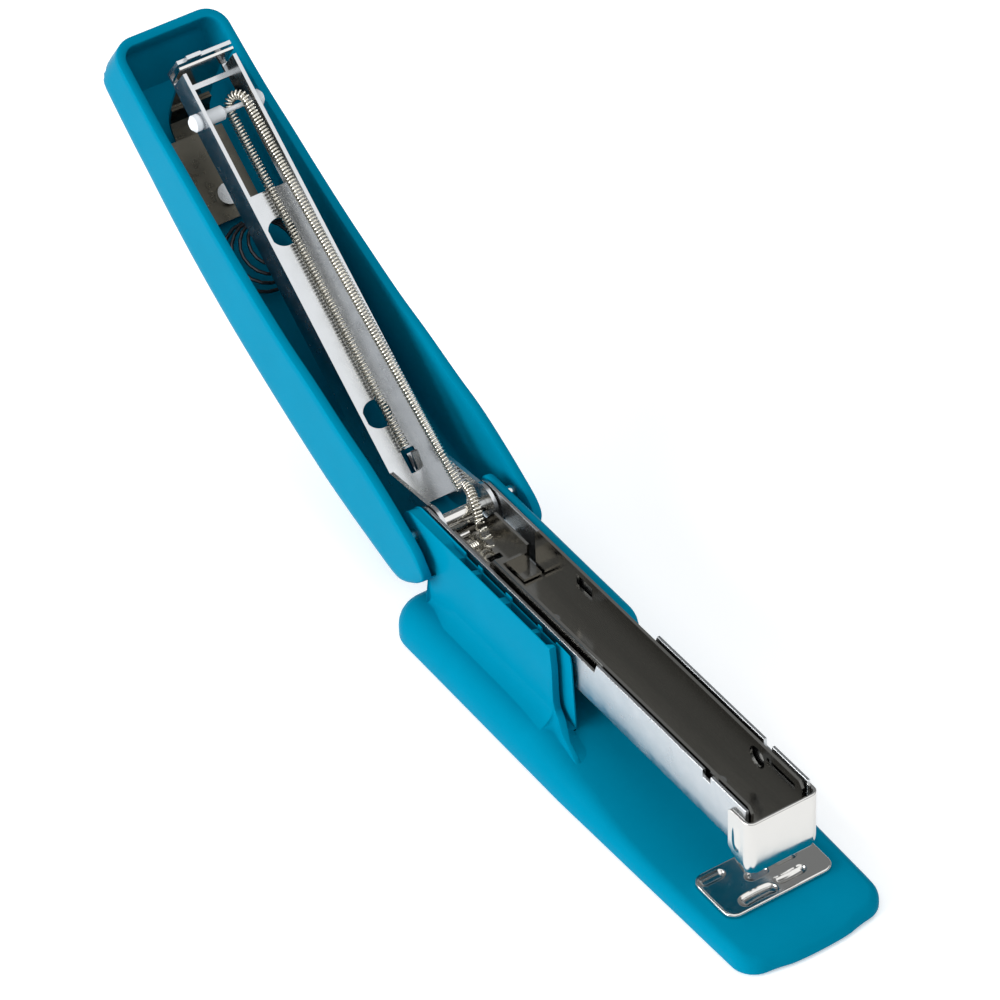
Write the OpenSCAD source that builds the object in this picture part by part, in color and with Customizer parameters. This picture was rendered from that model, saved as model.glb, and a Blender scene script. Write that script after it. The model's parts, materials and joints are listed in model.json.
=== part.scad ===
// Desk stapler for 26/6 staples, shown swung open for loading.
// Millimetres. +X runs from the hinge to the nose, +Z is up, Y = 0 is the middle.
// The origin is the centre of the base underside, on the table.

/* [Base] */
// Overall length of the base
base_l = 119.2; // [118:0.2:121]
// Half width of the base at the rear
base_hw = 17.6; // [16.8:0.1:19]
// Height of the base deck beside the tower
deck_z = 8.2; // [7.8:0.1:8.6]
// Height of the base top under the anvil
front_z = 4.5; // [4.3:0.1:4.6]
// Wall of the moulded base
base_wall = 2.2; // [1.8:0.1:2.3]
// Thickness of the rubber foot pad
pad_t = 1.6; // [1.2:0.1:1.8]

/* [Hinge] */
// Height of the hinge pin above the table
pin_h = 21.5; // [21.3:0.1:22.5]
// Distance from the rear edge of the base to the hinge pin
pin_back = 1.3; // [1:0.1:1.6]
// Radius of the hinge pin
pin_r = 1.5; // [1.3:0.05:1.6]
// Running clearance of everything that turns on a pin
run_gap = 0.06; // [0.03:0.01:0.09]
// Angle between cover liner and magazine when swung open
open_angle = 142.64; // [120:0.1:143]

/* [Magazine] */
// Half width of the staple channel, outside
chan_hw = 7.2; // [7.1:0.05:7.3]
// Sheet thickness of channel and liner
sheet = 0.7; // [0.6:0.05:0.75]
// Half width of the staple rail, outside
rail_hw = 5.95; // [5.9:0.01:6]
// Distance from the hinge pin to the front of the nose plate
nose_x = 105.8; // [105.7:0.05:106]

/* [Cover] */
// Half width of the cover at the rear
cover_hw_rear = 14.3; // [13.7:0.1:14.4]
// Half width of the cover at the nose
cover_hw_front = 12.9; // [12.2:0.1:13]
// Wall of the moulded cover
cover_wall = 2; // [1.8:0.1:2.1]
// Radius of the long rounded edges of the cover
edge_r = 5; // [4:0.2:6]

/* [Hidden] */
$fn = 48;
teal = [0.0, 0.6, 0.74];
steel = [0.75, 0.76, 0.78];
nickel = [0.82, 0.8, 0.76];
dark = [0.32, 0.32, 0.33];
white = [0.92, 0.93, 0.95];
rubber = [0.12, 0.12, 0.13];
eps = 0.01;
big = 200;
pad_gap = 1;
long_r = 6.5;
base_x0 = -base_l / 2;
base_x1 = base_l / 2;
pin_x = base_x0 + pin_back;
bore_r = pin_r + run_gap;

// Tower, measured from the hinge pin
tower_out = 10.45;
tower_in = 7.9;
hub_r = 5;
near_top = 4.8;
far_top = 3.6;
tower_front = 48;
recesses = [[14.2, 4.2], [19.8, 8], [29.8, 8.8], [39.8, 5.2]];

// Magazine, measured from the hinge pin
chan_in = chan_hw - sheet;
chan_z0 = -4.7;
chan_z1 = 4.6;
chan_z2 = 6.9;
chan_step = 56;
mag_front = 103.7;
rail_z0 = chan_z0 + sheet;
rail_t = 0.6;
rail_z1 = 6.6;
rail_x0 = 18;
nose_hw = 7.95;
nose_t = 0.7;
nose_z0 = -7.9;
nose_z1 = 5;

// Pusher
push_hw = 5;
push_z0 = rail_z0 + rail_t + 0.35;
push_t = 0.6;

// Liner and cover in their closed position, measured from the hinge pin
liner_hw = 6.15;
liner_t = 0.8;
liner_z0 = 7.24;
liner_z1 = 14.2;
liner_x1 = 105.9;
wall_x1 = 103;
slit_hw = 5;
roller_x = 93.7;
roller_z = 10.5;
roller_r = 1.5;
groove_r = 0.5;
loop_y = 2.8;
leg_dz = 1.75;
leg_dy = 1.37;
spring_r = 1.1;
leg_x0 = 18;
cone_x = 67.5;
roof_r = 236;
roof_cx = 92.5;
roof_cz = -201.1;
cover_x1 = 116.8;
leaf_z = 29.6;
blade_r0 = 104.3;
blade_t = 0.5;
blade_hw = 6.2;
neck_hw = 4.6;

// Anvil
anvil_x = base_x1 - 18.4;
anvil_l = 12.8;
anvil_hw = 12;
anvil_t = 0.9;
anvil_z = front_z + 0.1;
post_r = 3.2;

// ---- helpers ----

module at_pin() translate([pin_x, 0, pin_h]) children();

module opened() at_pin() rotate([0, -open_angle, 0]) children();

// Extrudes an X-Z outline along Y between two values
module side(y0, y1) translate([0, y1, 0]) rotate([90, 0, 0]) linear_extrude(y1 - y0) children();

module both_sides() {
    children();
    mirror([0, 1, 0]) children();
}

module box(x0, x1, y0, y1, z0, z1) translate([x0, y0, z0]) cube([x1 - x0, y1 - y0, z1 - z0]);

// A strip of thickness t above a line of points
module strip(line, t) {
    n = len(line);
    polygon(concat(line, [for (i = [1 : n]) line[n - i] + [0, t]]));
}

// A round bar along Y
module bar_y(x, z, r, y0, y1) side(y0, y1) translate([x, z]) circle(r);

// Rounded rectangle made of two squares and four circles
module rounded(x0, x1, y0, y1, r) {
    translate([x0 + r, y0]) square([x1 - x0 - 2 * r, y1 - y0]);
    translate([x0, y0 + r]) square([x1 - x0, y1 - y0 - 2 * r]);
    for (x = [x0 + r, x1 - r], y = [y0 + r, y1 - r]) translate([x, y]) circle(r);
}

// Close-wound spring drawn as a ribbed bar along +X
module ribbed(len, r, pitch) {
    n = floor(len / pitch);
    rib = [for (i = [0 : n - 1], k = [0 : 1]) [r - 0.25 + 0.25 * k, i * pitch + k * pitch / 2]];
    rotate([0, 90, 0]) rotate_extrude($fn = 20)
        polygon(concat([[0, 0]], rib, [[r - 0.25, n * pitch], [0, n * pitch]]));
}

// Coil of round wire about +Z, its radius going from r0 to r1
module coil(r0, r1, h, turns, wire, steps = 20) {
    m = 8;
    n = turns * steps;
    points = [for (i = [0 : n], j = [0 : m - 1])
        let (a = 360 * i / steps, b = 360 * j / m, r = r0 + (r1 - r0) * i / n + wire * cos(b))
        [r * cos(a), r * sin(a), h * i / n + wire * sin(b)]];
    walls = [for (i = [0 : n - 1], j = [0 : m - 1])
        let (k = (j + 1) % m) [i * m + j, i * m + k, (i + 1) * m + k, (i + 1) * m + j]];
    ends = [[for (j = [m - 1 : -1 : 0]) j], [for (j = [0 : m - 1]) n * m + j]];
    polyhedron(points, concat(walls, ends));
}

// ---- base ----

// Plan of the base, drawn in by d all round
module base_plan(d) {
    rear_r = 6;
    front_r = 5;
    front_hw = base_hw - 1.5;
    waist = base_x0 + rear_r;
    nose = base_x1 - front_r - 1.2;
    polygon([[waist, base_hw - d], [0, base_hw - d], [nose, front_hw - d],
        [nose, d - front_hw], [0, d - base_hw], [waist, d - base_hw]]);
    translate([base_x0 + d, -(base_hw - rear_r)]) square([rear_r + 1, 2 * (base_hw - rear_r)]);
    for (s = [-1, 1]) translate([waist, s * (base_hw - rear_r)]) circle(rear_r - d);
    for (s = [-1, 1]) translate([nose, s * (front_hw - front_r)]) circle(front_r - d);
    intersection() {
        translate([base_x1 - 80, 0]) circle(80 - d, $fn = 120);
        translate([nose - 5, -(front_hw - front_r)]) square([big, 2 * (front_hw - front_r)]);
    }
}

// Side outline of the base without its tower, its top lowered by d
module base_side(d) {
    rear = [for (a = [0 : 18 : 90]) [base_x0 + long_r * (1 - cos(a)), deck_z - long_r * (1 - sin(a)) - d]];
    polygon(concat([[base_x0, -1]], rear, [[pin_x + 46, deck_z - d], [pin_x + 56, deck_z - 1 - d], [pin_x + 68, deck_z - 2.4 - d],
        [pin_x + 80, front_z + 0.35 - d], [anvil_x - 13.8, front_z - d], [base_x1 - 7, front_z - d],
        [base_x1 - 3, front_z - 0.7 - d], [base_x1 - 0.8, front_z - 1.6 - d], [base_x1, front_z - 2.6 - d],
        [base_x1, -1]]));
}

// End view of the base, its long upper edges rounded
module base_end() {
    translate([long_r - base_hw, 0]) square([2 * (base_hw - long_r), deck_z + eps]);
    translate([-base_hw, -1]) square([2 * base_hw, deck_z - long_r + 1]);
    for (s = [-1, 1]) translate([s * (base_hw - long_r), deck_z - long_r]) circle(long_r);
}

// Side outline of one tower upright up to height top, measured from the pin
module tower_side(top) {
    difference() {
        union() {
            circle(hub_r);
            polygon([[-3.4, -3.8], [4.8, -7.2], [4.8, -14], [tower_front + 8, -14], [tower_front + 4, -12.9],
                [tower_front + 1, -10.5], [tower_front, -8], [tower_front - 1, top - 1],
                [tower_front - 2, top], [0, top]]);
        }
        circle(pin_r);
    }
}

module base_shell() color(teal) {
    difference() {
        intersection() {
            translate([0, 0, 0.5]) linear_extrude(20) base_plan(0);
            side(-30, 30) base_side(0);
            rotate([90, 0, 90]) translate([0, 0, -100]) linear_extrude(big) base_end();
        }
        intersection() {
            linear_extrude(20) base_plan(base_wall);
            side(-30, 30) base_side(base_wall);
        }
        translate([anvil_x, 0, 0]) cylinder(r = post_r + run_gap, h = 20);
    }
    at_pin() {
        side(tower_in, tower_out) tower_side(far_top);
        difference() {
            side(-tower_out, -tower_in) tower_side(near_top);
            for (r = recesses) {
                box(r[0], r[0] + r[1], 0.4 - tower_out, -0.7 - tower_in, -1, 6);
            }
            box(31, 36, -tower_in - 2, 1 - tower_in, -0.5, 3.1);
        }
        box(4.8, 6.8, -tower_in - eps, tower_in + eps, -14, -9);
    }
}

module base_foot_pad() color(rubber) difference() {
    inset = base_wall + pad_gap;
    hw = base_hw - 1.5 - inset;
    linear_extrude(pad_t) rounded(base_x0 + inset, base_x1 - inset - 1, -hw, hw, 7);
    translate([anvil_x, 0, -1]) cylinder(r = 7, h = 5);
}

module hinge_pin() color(steel) at_pin() bar_y(0, 0, pin_r, -12.6, 12.6);

module pin_washers() color(steel) at_pin() both_sides() side(7.35, 7.75) difference() {
    circle(3.2);
    circle(bore_r);
}

module magazine_lift_spring() color(steel) at_pin() {
    z = deck_z - pin_h;
    difference() {
        side(-3.5, 3.5) strip([[12, z], [20, z], [25, z + 0.8], [37, chan_z0 - 1.4],
            [40, chan_z0 - 0.6], [43, chan_z0 - 0.5], [46, chan_z0 - 1]], 0.4);
        translate([15.5, 0, z - 1]) cylinder(r = 1.25, h = 3);
    }
}

module lift_spring_rivet() color(steel) at_pin() translate([15.5, 0, deck_z - pin_h]) {
    cylinder(r = 1.25, h = 0.4);
    translate([0, 0, 0.4]) cylinder(r = 2.2, h = 0.7);
}

module anvil_plate() color(nickel) translate([anvil_x, 0, anvil_z]) difference() {
    union() {
        linear_extrude(anvil_t - 0.25) rounded(-anvil_l / 2, anvil_l / 2, -anvil_hw, anvil_hw, 2.5);
        linear_extrude(anvil_t) rounded(-anvil_l / 2 + 0.3, anvil_l / 2 - 0.3, -anvil_hw + 0.3, anvil_hw - 0.3, 2.2);
    }
    for (x = [-1.9, 3.1], s = [-1, 1]) intersection() {
        bar_y(x, anvil_t + 1.4, 1.9, s * 4.4 - 4, s * 4.4 + 4);
        translate([x, s * 4.4, 0]) linear_extrude(5) circle(4);
    }
    translate([-3.6, -8.6, -1]) linear_extrude(5) difference() {
        circle(1.6);
        translate([0.9, 0]) circle(1.2);
    }
    translate([0, 0, -1]) cylinder(r = post_r - 0.8, h = 1.6);
}

module anvil_post() color(steel) translate([anvil_x, 0, 0]) {
    translate([0, 0, 0.7]) cylinder(r = post_r, h = anvil_z - 0.7);
    translate([0, 0, anvil_z - eps]) cylinder(r = post_r - 0.8, h = 0.6 + eps);
    translate([0, 0, 0.4]) cylinder(r = 5, h = 0.7);
}

module anvil_spring() color(steel) translate([anvil_x, 0, 1.2]) difference() {
    cylinder(r = 5.8, h = 0.8);
    translate([0, 0, -1]) cylinder(r = post_r, h = 3);
}

// ---- magazine ----

module staple_channel() color(steel) at_pin() {
    foot = [[-4, 1.6], [-4, -2.6], [-2.6, chan_z0 + 0.3], [5, chan_z0], [mag_front, chan_z0], [mag_front, chan_z2]];
    notch = [[93.1, chan_z2], [92.9, 5.2], [90.4, 5.2], [90.6, chan_z2]];
    back = [[chan_step + 0.8, chan_z2], [chan_step, chan_z1], [0, chan_z1], [-2.8, 3.6]];
    mirror([0, 1, 0]) side(chan_in, chan_hw) difference() {
        polygon(concat(foot, back));
        circle(bore_r);
        translate([92, 1.6]) circle(0.9);
        translate([31, -0.5]) square([4.6, 3.6]);
    }
    side(chan_in, chan_hw) difference() {
        polygon(concat(foot, notch, back));
        circle(bore_r);
    }
    difference() {
        box(6, mag_front, -chan_in - eps, chan_in + eps, chan_z0, chan_z0 + sheet);
        for (x = [32, 86]) translate([x, 0, chan_z0 - 1]) cylinder(r = 1.2, h = 3);
        box(50, 58, -2, 2, chan_z0 - 1, chan_z0 + 1);
    }
}

module staple_rail() color(dark) at_pin() {
    side(rail_hw - rail_t, rail_hw) difference() {
        polygon([[rail_x0, rail_z0], [mag_front, rail_z0], [mag_front, rail_z1 - 1.2], [mag_front - 1, rail_z1],
            [rail_x0 + 1, rail_z1], [rail_x0, rail_z1 - 1]]);
        translate([90, 2.6]) circle(2.3);
        translate([93, 3.2]) square([8.5, 1.8]);
        translate([32, 1.8]) square([5.2, 3.4]);
    }
    side(-rail_hw, rail_t - rail_hw) difference() {
        polygon([[rail_x0, rail_z0], [mag_front, rail_z0], [mag_front, rail_z1 - 1.2], [mag_front - 1, rail_z1],
            [rail_x0 + 3, rail_z1], [rail_x0 + 1.5, rail_z1 - 2]]);
        translate([92, 1.6]) circle(0.9);
    }
    difference() {
        box(rail_x0, mag_front, eps - rail_hw, rail_hw - eps, rail_z0, rail_z0 + rail_t);
        for (x = [32, 86]) translate([x, 0, rail_z0 - 1]) cylinder(r = 1.2, h = 3);
    }
}

module rail_rivets() color(steel) at_pin() for (x = [32, 86]) translate([x, 0, 0]) {
    translate([0, 0, chan_z0]) cylinder(r = 1.2, h = sheet + rail_t);
    translate([0, 0, chan_z0 - 0.3]) cylinder(r = 2, h = 0.3);
}

module nose_plate() color(nickel) at_pin() {
    flank = [[nose_x - nose_t, nose_z0], [nose_x - 2.6, nose_z0], [nose_x - 6.4, -4.7],
        [nose_x - 6.4, nose_z1 - 0.7], [nose_x - 5.7, nose_z1], [nose_x - nose_t, nose_z1]];
    box(nose_x - nose_t, nose_x, -nose_hw, nose_hw, nose_z0, nose_z1);
    both_sides() {
        side(nose_hw - nose_t, nose_hw) polygon(flank);
        side(nose_hw - eps, nose_hw + 0.35) translate([nose_x - 3.4, 0]) rounded(-0.8, 0.8, -3.6, 2.4, 0.75);
    }
}

// ---- pusher ----

module pusher() color(dark) at_pin() {
    both_sides() side(push_hw - push_t, push_hw)
        polygon([[2.1, push_z0], [16.4, push_z0], [16.4, 1.7], [5, 1.7], [3, -0.6], [2.1, -1.7]]);
    difference() {
        union() {
            box(-1, 16.4, -push_hw, push_hw, push_z0, push_z0 + push_t);
            box(16.4 - eps, 20.5, 1, push_hw, push_z0, push_z0 + push_t);
        }
        box(11.2, 12.6, -1.5, 1.5, push_z0 - 1, push_z0 + 2);
    }
    box(15.8, 16.4, push_t - push_hw - eps, push_hw - push_t + eps, push_z0, -0.2);
    side(1.6, 3) polygon([[-1, push_z0], [-0.4, push_z0], [-0.4, push_z0 + push_t], [-1.2, -1.9], [-1.8, -1.9]]);
}

module pusher_anchor_rod() color(steel) at_pin() bar_y(3.6, -1.75, 0.5, push_t - push_hw, -0.5);

module pusher_anchor_coil() color(steel) at_pin()
    translate([8.2, -4.1, -1.2]) rotate([-90, 0, 0]) coil(1, 1, 2.4, 5, 0.2, 16);

// Wire hook that ties the spring to the rear of the pusher
module spring_hook() color(steel) at_pin() translate([-0.6, 3.6, -0.4]) rotate([90, 0, 0])
    rotate([0, 0, 95]) rotate_extrude(angle = 150, $fn = 32) translate([2.3, 0]) circle(0.3, $fn = 16);

// ---- extension spring ----

module spring_right_leg() color(steel) opened()
    translate([5, loop_y + leg_dy, 3.6]) rotate([0, -3.3, 0]) ribbed(88.4, spring_r, 1.3);

module spring_left_leg() color(steel) opened()
    translate([leg_x0, loop_y - leg_dy, roller_z + leg_dz]) ribbed(roller_x - leg_x0, spring_r, 1.3);

module spring_loop() color(steel) opened() translate([roller_x, loop_y, roller_z])
    rotate([atan2(leg_dy, leg_dz), 0, 0]) rotate([90, 0, 0]) rotate([0, 0, -90])
    rotate_extrude(angle = 180) translate([norm([leg_dy, leg_dz]), 0]) circle(spring_r, $fn = 24);

// ---- liner ----

module liner_wall() difference() {
    union() {
        circle(4.6);
        polygon([[-4.5, 1], [4.4, 12.6], [6.4, liner_z1], [wall_x1, liner_z1], [wall_x1, liner_z0],
            [14, liner_z0], [4, -2.2]]);
    }
    circle(bore_r);
    translate([roller_x, roller_z]) circle(roller_r + run_gap);
}

module liner_channel() color(white) opened() {
    both_sides() side(liner_hw - liner_t, liner_hw) liner_wall();
    difference() {
        box(6.4, liner_x1, -liner_hw, liner_hw, liner_z1 - liner_t, liner_z1);
        box(76.4, 100.6, liner_t - liner_hw, liner_hw - liner_t, 10, 20);
        box(101.7, liner_x1 - liner_t, -slit_hw, slit_hw, 10, 20);
        for (x = [26.6, cone_x]) translate([x, 0, 10]) cylinder(r = 3, h = 10);
        translate([0, 0, 10]) linear_extrude(10) {
            translate([13, 0.6]) square([5, 1]);
            translate([17, 0.6]) square([1, 3]);
        }
    }
    box(liner_x1 - liner_t, liner_x1, -liner_hw, liner_hw, liner_z0 - 0.1, liner_z1);
    box(liner_x1 - liner_t, liner_x1, -4.3, -1, liner_z0 - 1.3, liner_z0);
    side(1.7, 3) polygon([[13.2, liner_z1 - liner_t], [13.2, 12], [16.4, 10.9], [16.9, 11.5], [14, 12.7], [14, liner_z1 - liner_t]]);
}

module spring_roller() color(white) opened() translate([roller_x, 0, roller_z]) rotate([-90, 0, 0])
    rotate_extrude() polygon([[0, -8.2], [1.1, -8.2], [1.75, -7.6], [1.75, -6.45], [roller_r, -6.45],
        [roller_r, -1], [groove_r, -0.1], [groove_r, 5.3], [roller_r, 5.35], [roller_r, 6.45],
        [1.75, 6.45], [1.75, 7.6], [1.1, 8.2], [0, 8.2]]);

module return_spring() color(dark) opened() translate([cone_x, 0, liner_z1 + 0.45])
    coil(3.6, 8, 15, 5, 0.4);

// ---- cover ----

// Ring that carries the arched roof: rounded section drawn in by d
module roof_ring(d) {
    hw = cover_hw_rear - d;
    r = roof_r - d;
    corner = edge_r - d;
    translate([roof_cx, 0, roof_cz]) rotate([90, 0, 0]) rotate_extrude($fn = 180) {
        translate([20, -hw]) square([r - corner - 20, 2 * hw]);
        translate([20, corner - hw]) square([r - 20, 2 * (hw - corner)]);
        for (s = [-1, 1]) translate([r - corner, s * (hw - corner)]) circle(corner);
    }
}

// Side outline of the cover, its roof, nose and rear drawn in by d
module cover_side(d) polygon([
    [cover_x1 - d, 18], [cover_x1 - 0.4 - d, 22.5 - d / 2], [cover_x1 - 2 - d, 27 - d], [cover_x1 - 5 - d, 31 - d],
    [cover_x1 - 10 - d, 40 - d], [20, 50 - d], [9, 32 - d], [4.5 + d / 2, 26.2 - d], [0.6 + d, 21.4 - d],
    [-4.2 + d, 16 - d / 2], [-6.2 + d, 12], [-7.9 + d, 6.2], [-8.7 + d, 1.2], [-8.2 + d, -1.6],
    [-6.4 + d, -3.4], [-3.4, -4], [2, -3.4], [15.4, -1.3], [25.6, 1.8], [36, 4.6], [46, 7.6], [56.4, 10.1],
    [66.6, 12.2], [77, 14], [87, 15.4], [97, 16.8], [106.6, 17.6]]);

// Plan of the cover, drawn in by d
module cover_plan(d) {
    nose_r = 5;
    x = cover_x1 - nose_r;
    polygon([[-20, cover_hw_rear - d], [20, cover_hw_rear - 0.1 - d], [x, cover_hw_front - d],
        [x, d - cover_hw_front], [20, 0.1 + d - cover_hw_rear], [-20, d - cover_hw_rear]]);
    for (s = [-1, 1]) translate([x, s * (cover_hw_front - nose_r)]) circle(nose_r - d);
    translate([x, -(cover_hw_front - nose_r)]) square([nose_r - d, 2 * (cover_hw_front - nose_r)]);
}

module cover_body(d) intersection() {
    roof_ring(d);
    side(-30, 30) cover_side(d);
    translate([0, 0, -30]) linear_extrude(100) cover_plan(d);
}

module cover_shell() color(teal) opened() {
    post_x = 82;
    difference() {
        cover_body(0);
        intersection() {
            roof_ring(cover_wall);
            side(-30, 30) polygon([[cover_x1 - cover_wall, 0], [cover_x1 - 0.4 - cover_wall, 21.5],
                [cover_x1 - 2 - cover_wall, 25], [cover_x1 - 5 - cover_wall, 29],
                [cover_x1 - 10 - cover_wall, 38], [20, 48], [0, 48], [0, 10], [-20, 10], [-20, -10], [60, -10]]);
            translate([0, 0, -30]) linear_extrude(100) cover_plan(cover_wall);
        }
        box(-20, 0.8, 2 * cover_wall - 15, 15 - 2 * cover_wall, -10, 40);
        bar_y(0, 0, bore_r, -12.8, 12.8);
    }
    difference() {
        translate([post_x, 0, leaf_z + 0.7]) cylinder(r = 3, h = 3.3);
        translate([post_x, 0, leaf_z - 1]) cylinder(r = 1, h = 4.9);
    }
}

// Point at radius r from the pin and a degrees above +X, in an X-Z outline
function polar(r, a) = [r * cos(a), r * sin(a)];

module driver_leaf() color(steel) opened() difference() {
    r0 = blade_r0 - 0.6;
    r1 = blade_r0 - 0.05;
    bend = 99.4;
    union() {
        side(-neck_hw, neck_hw) polygon([polar(r0, 13.6), polar(r1, 13.6), polar(r1, 15.3), [99.9, 28.6],
            [98.6, 29.6], [96, leaf_z + 0.6], [96, leaf_z], [98.2, 29], [bend, 28.2], polar(r0, 15.1)]);
        box(77, 96, -6, 6, leaf_z, leaf_z + 0.6);
    }
    translate([82, 0, leaf_z - 1]) cylinder(r = 1, h = 3);
}

module driver_blade() color(nickel) opened() {
    intersection() {
        side(-blade_hw, blade_hw) difference() {
            circle(blade_r0 + blade_t, $fn = 360);
            circle(blade_r0, $fn = 360);
        }
        union() {
            box(90, 110, -blade_hw, blade_hw, 7.3, 13);
            box(90, 110, -neck_hw, neck_hw, 12, 27.2);
        }
    }
}

module driver_rivet() color(steel) opened() translate([82, 0, 0]) {
    translate([0, 0, leaf_z]) cylinder(r = 1, h = 2.85);
    translate([0, 0, leaf_z - 0.9]) cylinder(r = 2.3, h = 0.9);
}

base_shell();
base_foot_pad();
hinge_pin();
pin_washers();
magazine_lift_spring();
lift_spring_rivet();
anvil_plate();
anvil_post();
anvil_spring();
staple_channel();
staple_rail();
rail_rivets();
nose_plate();
pusher();
pusher_anchor_rod();
pusher_anchor_coil();
spring_hook();
spring_right_leg();
liner_channel();
spring_roller();
spring_loop();
spring_left_leg();
return_spring();
cover_shell();
driver_leaf();
driver_blade();
driver_rivet();
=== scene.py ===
"""Desk stapler swung open for loading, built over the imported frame."""

import json
import math

import bmesh
import bpy
import numpy as np
from mathutils import Matrix, Vector


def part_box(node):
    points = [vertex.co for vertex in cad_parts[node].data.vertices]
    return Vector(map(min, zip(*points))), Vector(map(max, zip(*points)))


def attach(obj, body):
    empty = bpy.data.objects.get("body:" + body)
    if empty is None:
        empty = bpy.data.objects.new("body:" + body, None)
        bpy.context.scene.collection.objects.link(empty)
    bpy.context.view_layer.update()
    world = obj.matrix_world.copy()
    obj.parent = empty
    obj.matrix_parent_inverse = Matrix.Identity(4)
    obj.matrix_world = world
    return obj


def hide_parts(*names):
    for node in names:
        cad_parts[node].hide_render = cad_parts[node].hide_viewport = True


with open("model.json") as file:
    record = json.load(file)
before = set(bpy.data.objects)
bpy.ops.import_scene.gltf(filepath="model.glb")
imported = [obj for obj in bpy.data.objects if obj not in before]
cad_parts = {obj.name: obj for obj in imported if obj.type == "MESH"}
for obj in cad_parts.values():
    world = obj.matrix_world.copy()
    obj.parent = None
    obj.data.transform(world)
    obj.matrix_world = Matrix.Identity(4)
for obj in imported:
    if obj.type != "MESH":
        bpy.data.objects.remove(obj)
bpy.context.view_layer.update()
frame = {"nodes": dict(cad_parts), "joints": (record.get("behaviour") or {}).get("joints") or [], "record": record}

MM = 0.001
JOINTS = {j["name"]: j for j in frame["joints"]}

# Shapes are drawn in millimetres from the hinge pin, +X to the nose and +Z up. The cover
# and its liner are drawn closed, then turned about the pin. Lights are placed in metres.
PIN = np.array(JOINTS["cover_swing"]["pos_m"])
OPEN = math.radians(JOINTS["cover_swing"]["range_deg"][1])
PIN_UP, DECK_UP, BASE_LENGTH = PIN[2] / MM, 8.2, 119.2
DECK = DECK_UP - PIN_UP
BASE_X1 = (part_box("base_shell")[1][0] - PIN[0]) / MM
BASE_X0 = BASE_X1 - BASE_LENGTH
BASE_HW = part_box("base_shell")[1][1] / MM


# ---------------------------------------------------------------- placing


def standing(points):
    """Points in millimetres from the pin, to metres in the row frame."""
    return np.asarray(points, float) * MM + PIN


def opened(points):
    """Points on the closed cover or liner, turned to the open position."""
    p = np.asarray(points, float)
    c, s = math.cos(OPEN), math.sin(OPEN)
    turned = np.stack([p[..., 0] * c - p[..., 2] * s, p[..., 1], p[..., 0] * s + p[..., 2] * c], -1)
    return standing(turned)


def smooth_line(xs, zs, x):
    """Monotone cubic through the points (xs, zs), at x."""
    xs, zs, x = (np.asarray(v, float) for v in (xs, zs, x))
    h, d = np.diff(xs), np.diff(zs) / np.diff(xs)
    m = np.zeros_like(xs)
    m[0], m[-1] = d[0], d[-1]
    for i in range(1, len(xs) - 1):
        if d[i - 1] * d[i] > 0:
            w1, w2 = 2 * h[i] + h[i - 1], h[i] + 2 * h[i - 1]
            m[i] = (w1 + w2) / (w1 / d[i - 1] + w2 / d[i])
    k = np.clip(np.searchsorted(xs, x) - 1, 0, len(h) - 1)
    t = np.clip((x - xs[k]) / h[k], 0, 1)
    return (
        (2 * t**3 - 3 * t**2 + 1) * zs[k]
        + (t**3 - 2 * t**2 + t) * h[k] * m[k]
        + (3 * t**2 - 2 * t**3) * zs[k + 1]
        + (t**3 - t**2) * h[k] * m[k + 1]
    )


# ---------------------------------------------------------------- meshes


def piece(name, verts, faces, place, body, material, replaces=(), smooth=40, weld=2e-6):
    """A mesh object from millimetre points, riding on a body."""
    mesh = bpy.data.meshes.new(name)
    mesh.from_pydata([tuple(v) for v in place(verts)], [], [tuple(int(i) for i in f) for f in faces])
    bm = bmesh.new()
    bm.from_mesh(mesh)
    bmesh.ops.remove_doubles(bm, verts=bm.verts, dist=weld)
    bmesh.ops.dissolve_degenerate(bm, dist=weld / 2, edges=bm.edges)
    bmesh.ops.recalc_face_normals(bm, faces=bm.faces)
    bm.to_mesh(mesh)
    bm.free()
    mesh.polygons.foreach_set("use_smooth", [True] * len(mesh.polygons))
    obj = bpy.data.objects.new(name, mesh)
    bpy.context.scene.collection.objects.link(obj)
    if smooth:
        mesh.set_sharp_from_angle(angle=math.radians(smooth))
    mesh.materials.append(material)
    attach(obj, body)
    if replaces:
        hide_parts(*replaces)
    return obj


class Patches:
    """Collects grids of points into one list of vertices and faces."""

    def __init__(self):
        self.verts, self.faces = [], []

    def grid(self, points, loop_cols=False):
        """Adds the faces between rows of points."""
        points = np.asarray(points, float)
        n, m = points.shape[:2]
        start = len(self.verts)
        self.verts.extend(points.reshape(-1, 3))
        for i in range(n - 1):
            for j in range(m if loop_cols else m - 1):
                a, b = i * m + j, i * m + (j + 1) % m
                self.faces.append([start + a, start + b, start + b + m, start + a + m])

    def closed(self, loop):
        """Adds one face round a loop of points."""
        self.faces.append([len(self.verts) + k for k in range(len(loop))])
        self.verts.extend(np.array(loop, float))

    def mirrored(self):
        """Adds the same again on the other side of Y = 0."""
        start = len(self.verts)
        self.verts.extend([v * np.array([1, -1, 1]) for v in self.verts[:start]])
        self.faces.extend([[start + i for i in reversed(f)] for f in self.faces[:]])


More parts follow.
